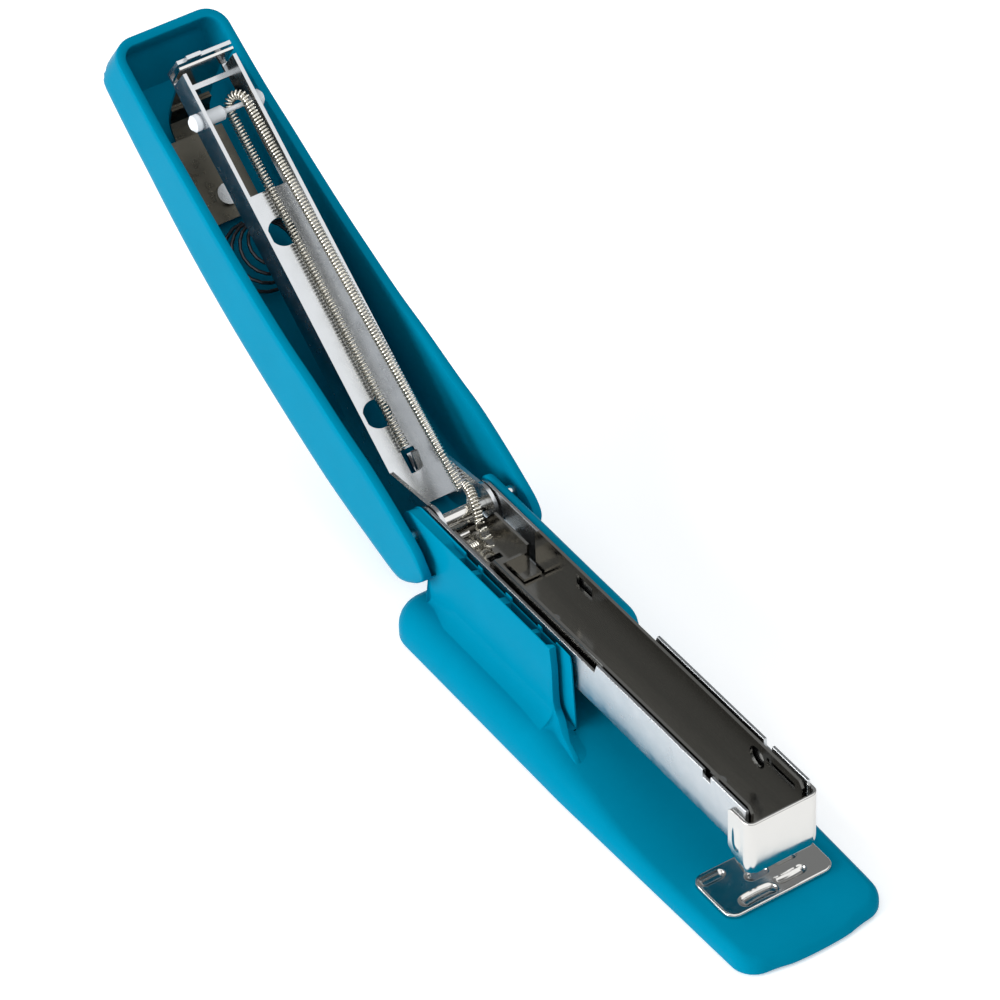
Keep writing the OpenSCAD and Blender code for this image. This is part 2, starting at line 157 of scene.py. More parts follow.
def tube(path, radius, sides):
    """Vertices and faces of a round wire along a path, without twist."""
    path = np.asarray(path, float)
    tangent = np.gradient(path, axis=0)
    tangent /= np.linalg.norm(tangent, axis=1)[:, None]
    side = np.cross(tangent[0], [0.31, 0.87, 0.37])
    side /= np.linalg.norm(side)
    rings = []
    for p, t in zip(path, tangent):
        side = side - t * side.dot(t)
        side /= np.linalg.norm(side)
        up = np.cross(t, side)
        a = np.arange(sides) * 2 * math.pi / sides
        rings.append(p + radius * (np.cos(a)[:, None] * side + np.sin(a)[:, None] * up))
    out = Patches()
    out.grid(rings, loop_cols=True)
    last = (len(path) - 1) * sides
    out.faces.append(list(range(sides))[::-1])
    out.faces.append([last + k for k in range(sides)])
    return out


def wound(axis_path, radius, pitch, steps):
    """Path of a wire wound at that radius round a line of points."""
    axis_path = np.asarray(axis_path, float)
    seg = np.linalg.norm(np.diff(axis_path, axis=0), axis=1)
    s = np.concatenate([[0], np.cumsum(seg)])
    turns = s[-1] / pitch
    at = np.linspace(0, s[-1], int(turns * steps) + 1)
    centre = np.stack([np.interp(at, s, axis_path[:, k]) for k in range(3)], -1)
    tangent = np.gradient(centre, axis=0)
    tangent /= np.linalg.norm(tangent, axis=1)[:, None]
    a = 2 * math.pi * at / pitch
    side = np.cross(tangent[0], [0, 1, 0])
    rings = np.empty_like(centre)
    for i, t in enumerate(tangent):
        side = side - t * side.dot(t)
        side /= np.linalg.norm(side)
        rings[i] = centre[i] + radius * (math.cos(a[i]) * side + math.sin(a[i]) * np.cross(t, side))
    return rings


# ---------------------------------------------------------------- materials


def material(name, colour, rough, metal=0.0, bump=0.0, scale=400, streak=(1, 1, 1), tint=0.05, **more):
    """A principled material whose colour, roughness and surface vary with noise."""
    mat = bpy.data.materials.new(name)
    mat.use_nodes = True
    nodes, links = mat.node_tree.nodes, mat.node_tree.links
    shader = nodes["Principled BSDF"]
    shader.inputs["Metallic"].default_value = metal
    for key, value in more.items():
        shader.inputs[key.replace("_", " ")].default_value = value
    place = nodes.new("ShaderNodeTexCoord")
    stretch = nodes.new("ShaderNodeMapping")
    stretch.inputs["Scale"].default_value = streak
    links.new(place.outputs["Object"], stretch.inputs["Vector"])
    fine, broad = nodes.new("ShaderNodeTexNoise"), nodes.new("ShaderNodeTexNoise")
    fine.inputs["Scale"].default_value = scale
    fine.inputs["Detail"].default_value = 6
    broad.inputs["Scale"].default_value = scale / 12
    broad.inputs["Detail"].default_value = 3
    for tex in (fine, broad):
        links.new(stretch.outputs["Vector"], tex.inputs["Vector"])
    ramp = nodes.new("ShaderNodeValToRGB")
    low, high = ramp.color_ramp.elements
    low.position, high.position = 0.3, 0.7
    low.color = (*[c * (1 - tint) for c in colour], 1)
    high.color = (*[min(1, c * (1 + tint)) for c in colour], 1)
    links.new(broad.outputs["Fac"], ramp.inputs["Fac"])
    links.new(ramp.outputs["Color"], shader.inputs["Base Color"])
    spread = nodes.new("ShaderNodeMapRange")
    spread.inputs["From Min"].default_value = 0.3
    spread.inputs["From Max"].default_value = 0.7
    spread.inputs["To Min"].default_value = rough * 0.82
    spread.inputs["To Max"].default_value = min(1, rough * 1.2)
    links.new(fine.outputs["Fac"], spread.inputs["Value"])
    links.new(spread.outputs["Result"], shader.inputs["Roughness"])
    if bump:
        relief = nodes.new("ShaderNodeBump")
        relief.inputs["Strength"].default_value = bump
        relief.inputs["Distance"].default_value = 0.00004
        links.new(fine.outputs["Fac"], relief.inputs["Height"])
        links.new(relief.outputs["Normal"], shader.inputs["Normal"])
    return mat


TEAL = material("teal_plastic", (0.0, 0.185, 0.305), 0.2, bump=0.012, scale=1500, tint=0.02,
                Specular_IOR_Level=0.006, Specular_Tint=(0.1, 0.7, 1.0, 1))
ZINC = material("zinc_sheet", (0.52, 0.535, 0.55), 0.24, metal=1.0, scale=300, tint=0.02)
NICKEL = material("nickel_plate", (0.60, 0.59, 0.57), 0.12, metal=1.0, bump=0.002, scale=500, tint=0.015)
DARK = material("dark_steel", (0.37, 0.36, 0.335), 0.16, metal=1.0, bump=0.002, scale=500,
                streak=(0.15, 1, 1), tint=0.05)
WIRE = material("spring_wire", (0.78, 0.75, 0.67), 0.25, metal=1.0, scale=900)
BLACK = material("black_wire", (0.05, 0.05, 0.055), 0.3, metal=0.8, scale=900)
NYLON = material("nylon", (0.66, 0.69, 0.72), 0.4, bump=0.02, scale=500, tint=0.02, Specular_IOR_Level=0.3)
RUBBER = material("pad_rubber", (0.04, 0.04, 0.043), 0.75, bump=0.6, scale=1400, tint=0.15)
# Near-black metal for the driver leaf: painted shade, standing for the shadow the leaf lies in under the cover.
SHADE_DARK_LEAF = material("shade_dark_leaf", (0.085, 0.08, 0.065), 0.3, metal=1.0, scale=500, tint=0.1)

LOOKS = {"teal_plastic": TEAL, "zinc_sheet": ZINC, "nickel": NICKEL, "dark_steel": DARK,
         "spring_steel": WIRE, "black_spring": BLACK, "nylon": NYLON, "pad_rubber": RUBBER}
for part in frame["record"]["subparts"]:
    for holder in frame["nodes"][part["node"]].material_slots:
        holder.material = LOOKS[part["material_slot"]]
# The driver leaf gets the near-black metal above, as painted shade in place of its own nickel.
for holder in frame["nodes"]["driver_leaf"].material_slots:
    holder.material = SHADE_DARK_LEAF


def soften(node, width, segments=2):
    """Breaks the sharp edges of a carried-over node."""
    bevel = frame["nodes"][node].modifiers.new("soft_edges", "BEVEL")
    bevel.width, bevel.segments = width * MM, segments
    bevel.limit_method, bevel.angle_limit = "ANGLE", math.radians(50)
    bevel.use_clamp_overlap = True


for node, width in (("liner_channel", 0.14), ("staple_rail", 0.1), ("pusher", 0.12),
                    ("driver_leaf", 0.1), ("driver_blade", 0.08), ("magazine_lift_spring", 0.08)):
    soften(node, width)


# ---------------------------------------------------------------- base


def deck(x):
    """Height of the base top along its length."""
    end = BASE_X1
    xs = [BASE_X0, 46, 56, 68, 80, 86, end - 9, end - 6.2, end - 3, end - 0.8, end]
    up = [DECK_UP, DECK_UP, 7.25, 5.85, 4.9, 4.55, 4.5, 4.4, 3.7, 2.7, 1.9]
    return smooth_line(xs, up, x) + DECK - DECK_UP


def edge_radius(x):
    """Radius of the long rounded edge of the base."""
    return smooth_line([BASE_X0, 30, 60, 80, BASE_X1], [6.5, 6.5, 4.5, 2.4, 2.0], x)


def base_top(x, y):
    """Height of the base surface beside its middle."""
    r = edge_radius(x)
    over = np.clip((np.abs(y) - BASE_HW + r) / r, 0, 1)
    return deck(x) - r * (1 - np.sqrt(1 - over**2))


def base_outline():
    """Half of the base plan with its inward normals, from rear middle to front middle."""
    rear_r, front_r, front_hw, bow = 7.0, 5.0, BASE_HW - 1.5, 80.0
    waist, middle, nose = BASE_X0 + rear_r, -PIN[0] / MM, BASE_X1 - front_r - 1.2
    out = [(BASE_X0, y, 1, 0) for y in np.linspace(0, BASE_HW - rear_r, 11)[:-1]]
    for a in np.linspace(0, math.pi / 2, 15)[:-1]:
        c, k = math.cos(a), math.sin(a)
        out.append((waist - rear_r * c, BASE_HW - rear_r + rear_r * k, c, -k))
    for x in np.linspace(waist, nose, 72)[:-1]:
        t = max(0.0, (x - middle) / (nose - middle))
        out.append((x, BASE_HW - (BASE_HW - front_hw) * t, 0, -1))
    for a in np.linspace(0, math.pi / 2 - 0.12, 10):
        c, k = math.cos(a), math.sin(a)
        out.append((nose + front_r * k, front_hw - front_r + front_r * c, -k, -c))
    last = out[-1]
    # The front end bows slightly and runs into the corner without a step.
    for t in np.linspace(0, 1, 8)[1:]:
        y = last[1] * (1 - t)
        x = BASE_X1 - bow + math.sqrt(bow**2 - y**2)
        x = last[0] + (x - last[0]) * min(1, t * 2.2) if t < 0.45 else x
        out.append((x, y, -1, -y / bow))
    return np.array(out)


def make_base():
    """Base moulding, from the recess of its pad round the edge to the middle of its top."""
    low = 0.5 - PIN_UP
    floor_z, recess_in = low + 1.9, 2.3
    line = base_outline()
    x, y, nx, ny = line.T
    top = deck(x)
    radius = np.minimum(edge_radius(x), (top - low) * 0.7)
    mid_x = np.clip(x, BASE_X0 + BASE_HW, BASE_X1 - BASE_HW)
    rows = []

    def ring(inset, z):
        rows.append(np.stack([x + nx * inset, y + ny * inset, z + 0 * x], -1))

    recess_x, recess_y = x + nx * recess_in, y + ny * recess_in
    for t in (1, 0.5):
        px = recess_x + t * (mid_x - recess_x)
        rows.append(np.stack([px, recess_y * (1 - t), floor_z + 0 * x], -1))
    for inset, z in ((recess_in, floor_z), (2.2, low + 0.3), (1.9, low), (0.35, low),
                     (0.1, low + 0.1), (0.0, low + 0.35)):
        ring(inset, z)
    for t in (0.33, 0.66):
        ring(0.0, low + 0.35 + t * (top - radius - low - 0.35))
    for a in np.radians(np.linspace(0, 90, 9)):
        inset = radius * (1 - math.cos(a))
        px = x + nx * inset
        rows.append(np.stack([px, y + ny * inset, deck(px) - radius * (1 - math.sin(a))], -1))
    edge = rows[-1]
    for t in (0.15, 0.35, 0.55, 0.78, 1):
        px = edge[:, 0] + t * (mid_x - edge[:, 0])
        rows.append(np.stack([px, edge[:, 1] * (1 - t), deck(px)], -1))
    shape = Patches()
    shape.grid(rows)
    shape.mirrored()
    return shape


RECESSES = [(14.2, 18.4), (19.8, 27.8), (29.8, 38.6), (39.8, 44.6)]
RECESS_DEPTH, SLIT = 5, (44.8, 50.8)
TOWER_X0, TOWER_FOOT = 4.8, -7.2
HUB_R, NECK_X, NECK_Z = 5, -3.4, -3.8
UPRIGHT_IN, UPRIGHT_OUT = 7.72, 10.42
# Two stations this far apart make a sharp step.
STEP = 0.02
# Stations behind the tower foot, where the underside hangs free and is closed.
FREE_ROWS = 18


def tower_stations(extra=()):
    """X values of the uprights, close together round the hub and the front edge."""
    hub = -HUB_R * np.cos(np.linspace(0, math.pi / 2, 11))
    xs = np.concatenate([hub, np.linspace(0.8, TOWER_X0, 6), np.linspace(6, 43, 38),
                         np.linspace(43.6, 46.6, 6), np.linspace(46.7, 49.2, 26),
                         np.linspace(49.6, 61, 28), extra])
    return np.array(sorted(xs))


def under(x, ground):
    """Underside of an upright: round the hub, then a slope, then the deck."""
    if x < NECK_X:
        return -math.sqrt(max(0.0, HUB_R**2 - x * x)) + 0.001
    if x < TOWER_X0 - STEP / 2:
        return NECK_Z + (x - NECK_X) / (TOWER_X0 - NECK_X) * (TOWER_FOOT - NECK_Z)
    return ground - 0.3


def hub_top(x, top):
    """Top of an upright, kept inside the round of the hub behind the pin."""
    return min(top, math.sqrt(max(0.0, HUB_R**2 - x * x))) if x < 0 else top


def flare(x, yo, top, low, ground):
    """Outer face of an upright, with its soft foot on the deck."""
    height = max(0.0, top - ground)
    if x < TOWER_X0 - STEP / 2:
        return [(yo, top + (low - top) * t) for t in (0.3, 0.6, 0.8, 0.88, 0.93, 0.97, 0.99, 1, 1)]
    r = min(3.8, height * 0.75) * min(1.0, max(0.3, (x - TOWER_X0) / 8))
    foot = yo + 0.15 * min(1, height / 8)
    line = [(yo + 0.1 * min(1, height / 8), ground + r + (height - r) * 0.4)]
    for a in np.radians([0, 18, 36, 54, 70, 84]):
        y = foot + r * (1 - math.cos(a))
        line.append((y, float(base_top(x, y)) + r * (1 - math.sin(a)) - 0.02))
    line.append((line[-1][0] + 0.3, line[-1][1] - 0.6))
    line.append((line[-1][0], ground - 1.5))
    return line


def make_near_upright():
    """Outer wall, inner strip beside the magazine, and the pockets between them."""
    edges = [v for a, b in RECESSES for v in (a - STEP, a, a + 0.25, b - 0.25, b, b + STEP)]
    xs = tower_stations(edges + [TOWER_X0 + STEP, SLIT[0], SLIT[0] + STEP, SLIT[1], SLIT[1] + STEP])
    outer_top = smooth_line([-5, 0, 46.1, 46.35, 46.5, 46.6, 46.7, 46.9, 47.5, 49, 52, 55.8, 57, 61],
                            [4.8, 4.8, 4.75, 4.4, 3.0, 0, -4, -8, -10, -11.3, -12.5, -13.6, -14.1, -15.6], xs)
    inner_top = smooth_line([-5, 0, 13, 47.6, 49.3, 49.7, 49.9, 50.2, 50.5, 50.7, 51.5, 61],
                            [4.8, 4.8, 4.5, 4.1, 3.8, 1.2, -2.5, -5.8, -10.5, -14, -15.2, -18], xs)
    outer_y = smooth_line([-5, 46, 48.3, 49.3, 51.4, 54, 57, 61],
                          [UPRIGHT_OUT, UPRIGHT_OUT, 10.6, 10.9, 11.7, 12.2, 12.8, 13], xs)
    inner_face = smooth_line([-5, 44.6, 45.2, 48, 49, 50.8, 54, 61],
                             [10.1, 10.1, 9.0, 9.0, 9.2, 9.9, 11.2, 12], xs)
    rows = []
    for x, zo, zi, yo, yf in zip(xs, outer_top, inner_top, outer_y, inner_face):
        ground = float(deck(x))
        low = under(x, ground)
        zo, zi = hub_top(x, max(zo, ground - 0.3)), hub_top(x, max(zi, ground - 0.3))
        soft = min(0.3, max(0.0, (zi - low) * 0.4))
        # Pockets are cut down between the two walls, a shallow groove joins them along the top,
        # and the slit in front of them reaches the deck.
        ledge, deep_in, deep_out = zi - soft, zi - soft, zo
        if any(a <= x <= b for a, b in RECESSES):
            zi -= 0.9
            ledge, deep_in, deep_out = zi - 0.5, zi - RECESS_DEPTH, zi - RECESS_DEPTH
        elif 10 < x < 44.7:
            ledge, deep_in, deep_out = zi - 0.9, zi - 1.1, zo - 0.9
        if SLIT[0] + STEP / 2 <= x < SLIT[1] + STEP / 2:
            ledge, deep_in, deep_out = zi - 1, ground + 0.35, ground + 0.35
        bevel = min(0.3, max(0.0, (zo - low) * 0.4))
        yi = UPRIGHT_IN
        section = [(yi, low), (yi, zi - soft), (yi + 0.06, zi - soft * 0.3), (yi + 0.14, zi),
                   (yi + 0.22, zi), (yi + 0.31, zi - soft * 0.4), (yi + 0.33, ledge),
                   (yi + 0.38, deep_in), (yf, deep_out), (yf + 0.01, zo - bevel * 0.3),
                   (yf + 0.08, zo), (yo - 0.22, zo), (yo - 0.06, zo - bevel * 0.3), (yo, zo - bevel)]
        section += flare(x, yo, zo - bevel, low, ground)
        rows.append([(x, -y, z) for y, z in section])
    shape = Patches()
    shape.grid(rows)
    shape.grid([[r[0] for r in rows[:FREE_ROWS]], [r[-1] for r in rows[:FREE_ROWS]]])
    return shape


def make_far_upright():
    """Plain upright whose top rolls over to the outer face."""
    xs = tower_stations([TOWER_X0 + STEP])
    top = smooth_line([-5, 0, 13, 30, 43, 44.4, 45.2, 45.7, 46.5, 49.3, 52, 57],
                      [4.0, 4.0, 3.9, 3.7, 3.6, 3.2, 2.2, 0, -6, -11.4, -13.6, -15], xs)
    rows = []
    for x, zt in zip(xs, top):
        ground = float(deck(x))
        low = under(x, ground)
        zt = hub_top(x, max(zt, ground - 0.3))
        roll = min(3.0, max(0.0, (zt - low) * 0.45))
        yi, crest = UPRIGHT_IN, 8.5
        section = [(yi, low), (yi, zt - min(0.3, roll)), (yi + 0.08, zt - min(0.1, roll)),
                   (yi + 0.28, zt), (crest, zt)]
        for a in np.radians([20, 40, 55, 70, 80, 90]):
            section.append((crest + (UPRIGHT_OUT - crest) * math.sin(a), zt - roll * (1 - math.cos(a))))
        section += flare(x, UPRIGHT_OUT, zt - roll, low, ground)
        rows.append([(x, y, z) for y, z in section])
    shape = Patches()
    shape.grid(rows)
    shape.grid([[r[0] for r in rows[:FREE_ROWS]], [r[-1] for r in rows[:FREE_ROWS]]])
    return shape


def make_rear_wall():
    """Low wall that joins the two uprights behind the magazine spring."""
    across, sunk = np.linspace(-7.8, 7.8, 9), DECK - 0.3
    section = [(4.8, sunk), (4.8, -9.4), (4.95, -9.1), (5.2, -9.0), (6.3, -9.0), (6.6, -9.1),
               (6.7, -9.4), (6.7, sunk)]
    rows = [[(x, y, z) for y in across] for x, z in section]
    shape = Patches()
    shape.grid(rows)
    return shape


moulding = make_base()
piece("base_moulding", moulding.verts, moulding.faces, standing, "base", TEAL,
      replaces=["base_shell"], smooth=35)
for name, shape in (("near_upright", make_near_upright()), ("far_upright", make_far_upright()),
                    ("base_rear_wall", make_rear_wall())):
    piece(name, shape.verts, shape.faces, standing, "base", TEAL, smooth=35, weld=1e-7)

# ---------------------------------------------------------------- anvil


ANVIL = np.array([BASE_X1 - 18.4, 0, 4.6 - PIN_UP])
# Centre in x and y, length, half width, depth and bend of each pressed groove.
GROOVES = [(3.9, -4.2, 5.4, 1.45, 0.7, 0.02), (3.5, 3.6, 4.8, 1.1, 0.7, -0.02),
           (-0.4, -1.3, 2.4, 1.2, 0.7, 0.0), (-0.7, 5.2, 3.0, 1.1, 0.7, 0.0),
           (-4.2, -8.6, 3.3, 1.25, 0.65, 0.0)]


def make_anvil():
    """Pressed plate with rounded corners and its grooves."""
    half_l, half_w, corner, thick = 6.4, 12.0, 2.5, 0.9
    ys, us = np.linspace(-half_w, half_w, 170), np.linspace(-1, 1, 92)
    inset = np.maximum(0, np.abs(ys) - (half_w - corner))
    reach = half_l - corner + np.sqrt(np.maximum(0, corner**2 - inset**2))
    y, x = np.meshgrid(ys, us, indexing="ij")
    x = x * reach[:, None]
    qx, qy = np.abs(x) - (half_l - corner), np.abs(y) - (half_w - corner)
    edge = corner - np.where((qx > 0) & (qy > 0), np.hypot(qx, qy), np.maximum(qx, qy))
    z = thick - 0.32 * (1 - np.sqrt(1 - (1 - np.clip(edge / 0.45, 0, 1)) ** 2))
    for cx, cy, run, wide, deep, curl in GROOVES:
        u = y - cy
        v = x - cx - curl * u**2
        d = np.hypot(np.maximum(np.abs(u) - run / 2, 0), v) / wide
        z = z - deep * np.clip(1 - d**2, 0, 1) ** 0.8 + 0.07 * np.exp(-(((d - 1.2) / 0.18) ** 2))
    z = np.minimum(z, thick)
    shape = Patches()
    shape.grid(np.stack([x, y, z], -1))
    for line in (np.s_[0, :], np.s_[-1, :], np.s_[:, 0], np.s_[:, -1]):
        top = np.stack([x[line], y[line], z[line]], -1)
        shape.grid([top, top * [1, 1, 0]])
    rim_line = [*zip(x[0], y[0]), *zip(x[1:, -1], y[1:, -1]), *zip(x[-1, -2::-1], y[-1, -2::-1]),
                *zip(x[-2:0:-1, 0], y[-2:0:-1, 0])]
    shape.closed([(px, py, 0) for px, py in rim_line])
    shape.verts = [v + ANVIL for v in shape.verts]
    return shape


plate = make_anvil()
piece("anvil_pressing", plate.verts, plate.faces, standing, "anvil", NICKEL,
      replaces=["anvil_plate"], smooth=50, weld=1e-6)

# ---------------------------------------------------------------- magazine


FOLD_X, FOLD_HW, FOLD_T = 105.8, 7.95, 0.7
CHANNEL_LOW, FOLD_DROP, FOLD_TOP = -4.7, 3.4, 5.0
WALL_LOW, WALL_HIGH, RAMP, NOTCH, NOTCH_Z = 4.6, 6.9, (56, 56.8), (90.5, 93.0), 5.2


def make_nose():
    """Bright sheet folded round the front of the magazine."""
    back, r = FOLD_X - 6.4, 1.7
    path = [(x, FOLD_HW, 0, 1) for x in np.linspace(back, FOLD_X - r, 34)]
    for a in np.linspace(0, math.pi / 2, 12)[1:-1]:
        c, k = math.cos(a), math.sin(a)
        path.append((FOLD_X - r + r * k, FOLD_HW - r + r * c, k, c))
    path += [(FOLD_X, y, 1, 0) for y in np.linspace(FOLD_HW - r, 0, 16)]
    outer, inner = [], []
    for x, y, nx, ny in path:
        low = CHANNEL_LOW - FOLD_DROP * min(1.0, max(0.0, (x - back) / 4.2)) ** 0.9
        if x > FOLD_X - r - 0.1:
            at_bend = abs(y - (FOLD_HW - 0.8)) < 0.9
            low = CHANNEL_LOW - FOLD_DROP + (0.5 if at_bend else 0.0)
        high = FOLD_TOP - 0.6 * max(0.0, 1 - (x - back) / 0.7)
        steps = np.array([0, 0.01, 0.025, 0.05, *np.linspace(0.09, 0.94, 30), 0.975, 0.99, 1])
        zs = low + (high - low) * steps
        out_col, in_col = [], []
        for z in zs:
            # The free edges are rounded, the side has an oval swelling, and the foot is drawn in.
            lip = 0.16 * (max(0, 1 - (z - low) / 0.18) ** 2 + max(0, 1 - (high - z) / 0.18) ** 2)
            rise = 0.0
            if ny > 0.99:
                oval_x, oval_z = (x - (FOLD_X - 3.9)) / 1.15, (z + 1.1) / 2.7
                rise = 0.32 * max(0.0, 1 - oval_x**2 - oval_z**4)
            tuck = 0.32 * min(1.0, max(0.0, (-5.4 - z) / 2.8)) ** 2
            out_col.append((x + nx * (rise - lip - tuck), y + ny * (rise - lip - tuck), z))
            in_col.append((x - nx * (FOLD_T - lip + tuck), y - ny * (FOLD_T - lip + tuck), z))
        outer.append(out_col)
        inner.append(in_col)
    shape = Patches()
    shape.grid(outer)
    shape.grid(inner)
    shape.grid([[c[0] for c in outer], [c[0] for c in inner]])
    shape.grid([[c[-1] for c in outer], [c[-1] for c in inner]])
    shape.grid([outer[0], inner[0]])
    shape.mirrored()
    return shape


def channel_top(x):
    """Upper edge of the channel: low beside the uprights, then full height, with a notch."""
    if x < 0:
        return float(smooth_line([-4, -2.8, -1, 0], [1.6, 3.6, 4.4, WALL_LOW], x))
    if x < RAMP[0]:
        return WALL_LOW
    if x < RAMP[1]:
        return WALL_LOW + (WALL_HIGH - WALL_LOW) * (x - RAMP[0]) / (RAMP[1] - RAMP[0])
    if NOTCH[0] < x < NOTCH[1]:
        return NOTCH_Z
    return WALL_HIGH


def make_channel():
    """Folded sheet: two walls and a floor with round bends."""
    out_y, t, low, bend, front = 7.2, 0.7, CHANNEL_LOW, 1.2, 103.7
    arcs = np.radians(np.linspace(0, 90, 7))
    xs = sorted([6, *np.linspace(7, front - 0.2, 90), front,
                 RAMP[0], RAMP[0] + 0.2, RAMP[1] - 0.2, RAMP[1],
                 NOTCH[0], NOTCH[0] + STEP, NOTCH[1] - STEP, NOTCH[1]])
    rows = []
    for x in xs:
        top = channel_top(x)
        half = [(out_y - t, top - 0.1), (out_y - t + 0.1, top), (out_y - 0.1, top), (out_y, top - 0.1)]
        outer = [(out_y, z) for z in np.linspace(top - 1, low + bend, 6)]
        outer += [(out_y - bend + bend * math.cos(a), low + bend - bend * math.sin(a)) for a in arcs[1:]]
        small = bend - t
        inner = [(out_y - t - small + small * math.cos(a), low + t + small - small * math.sin(a))
                 for a in arcs[::-1]]
        inner += [(out_y - t, z) for z in np.linspace(low + bend + 0.1, top - 1, 5)]
        near = [(x, -y, z) for y, z in half + outer]
        far = [(x, y, z) for y, z in (half + outer)[::-1]]
        far_in = [(x, y, z) for y, z in inner[::-1]]
        near_in = [(x, -y, z) for y, z in inner]
        rows.append(near + far + far_in + near_in)
    shape = Patches()
    shape.grid(rows, loop_cols=True)
    shape.closed(rows[0])
    shape.closed(rows[-1])
    # The walls run on behind the floor, as two plates that carry the pin.
    for s in (-1, 1):
        plate_rows = []
        for x in [-4, -3.9, -3.4, -2.8, -2, -1, *np.linspace(0, 6, 7)]:
            top = channel_top(x)
            foot = float(smooth_line([-4, -3.4, -2.6, 5, 6], [-2.6, -3.9, -4.4, low, low], x))
            ring = [(out_y - t, foot), (out_y - t, top - 0.1), (out_y - t + 0.1, top), (out_y - 0.1, top),
                    (out_y, top - 0.1), (out_y, foot + 0.1), (out_y - 0.1, foot)]
            plate_rows.append([(x, s * y, z) for y, z in ring])
        shape.grid(plate_rows, loop_cols=True)
        shape.closed(plate_rows[0])
        shape.closed(plate_rows[-1])
    return shape


folded = make_nose()
piece("nose_folding", folded.verts, folded.faces, standing, "magazine", NICKEL,
      replaces=["nose_plate"], smooth=50)
tray = make_channel()
piece("channel_folding", tray.verts, tray.faces, standing, "magazine", ZINC,
      replaces=["staple_channel"], smooth=40)

# ---------------------------------------------------------------- cover


COVER_HW, NOSE_HW, COVER_X1, NOSE_R = 14.3, 12.9, 116.8, 5.0
ARC_X, EDGE_R = COVER_X1 - NOSE_R, 5.0
NOSE_REACH = (PIN[0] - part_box("cover_shell")[0][0]) / MM - 0.05
COVER_X0, SLOT_X, WALL = -8.7, 0.8, 2.0
SLOT_INSET = COVER_HW - 11.0
# The roof is one arch from ARCH_X0 to the nose.
ARCH_X0, ARCH_R, ARCH_CX, ARCH_CZ = 10, 236, 92.5, -201.1
TAPER_X = 20


def rim(x):
    """Height of the open edge of the cover."""
    xs = [COVER_X0, -8.45, -7.8, -6.4, -3.4, 2, 15.4, 25.6, 36, 46, 56.4, 66.6, 77, 87, 97, 106.6,
          COVER_X1]
    zs = [1.0, -0.8, -2.1, -3.3, -4, -3.5, -1.3, 1.8, 4.6, 7.7, 10.1, 12.2, 13.9, 15.3, 16.8, 17.6,
          18.2]
    return smooth_line(xs, zs, x)


def roof(x, y=0.0):
    """Height of the outside of the roof, with its slight crown across."""
    x = np.asarray(x, float)
    arch = ARCH_CZ + np.sqrt(ARCH_R**2 - (np.maximum(x, ARCH_X0) - ARCH_CX) ** 2)
    rear = smooth_line([COVER_X0, -8.4, -7.7, -6.4, -4.6, -2, 0.6, 4.5, ARCH_X0],
                       [1.2, 4.5, 8, 11.2, 13.8, 15.3, 16.4, 17.9, 20.0], np.minimum(x, ARCH_X0))
    sag = 0.8 * np.exp(-(((x - 38) / 26) ** 2))
    return np.where(x < ARCH_X0, rear, arch) - sag - 0.5 * (np.asarray(y) / 13) ** 2


def chamfered(point, inset=0.0):
    """Keeps a point of the cover behind the slope at the top of its nose."""
    c, s = -math.cos(OPEN), math.sin(OPEN)
    over = max(0.0, point[0] * c + point[2] * s - NOSE_REACH + inset)
    return (point[0] - over * c, point[1], point[2] - over * s)


def cover_stations():
    """Outline of the cover with inward normals: sides, nose arc and half of the flat front."""
    rear = COVER_X0 + (SLOT_X - COVER_X0) * (1 - np.cos(np.linspace(0.12, math.pi / 2, 18)))
    out = [(x, None, 0, -1, "ear") for x in rear]
    for x in np.concatenate([[SLOT_X], np.linspace(2, TAPER_X, 14), np.linspace(22, ARC_X, 62)]):
        out.append((x, None, 0, -1, "roof"))
    for a in np.linspace(0, math.pi / 2, 10)[1:]:
        s, c = math.sin(a), math.cos(a)
        out.append((ARC_X + NOSE_R * s, NOSE_HW - NOSE_R * (1 - c), -s, -c, "arc"))
    for t in np.linspace(0, 1, 9)[1:]:
        out.append((COVER_X1, (NOSE_HW - NOSE_R) * (1 - t), -1, 0, "front"))
    return out


def side_hw(x):
    """Half width of the cover: rounded in at the ears, then tapering to the nose."""
    if x <= TAPER_X:
        t = min(1.0, max(0.0, (-5.5 - x) / 3.2))
        return COVER_HW - 1.3 * (1 - math.sqrt(1 - t * t))
    return COVER_HW + (NOSE_HW - COVER_HW) * (x - TAPER_X) / (ARC_X - TAPER_X)


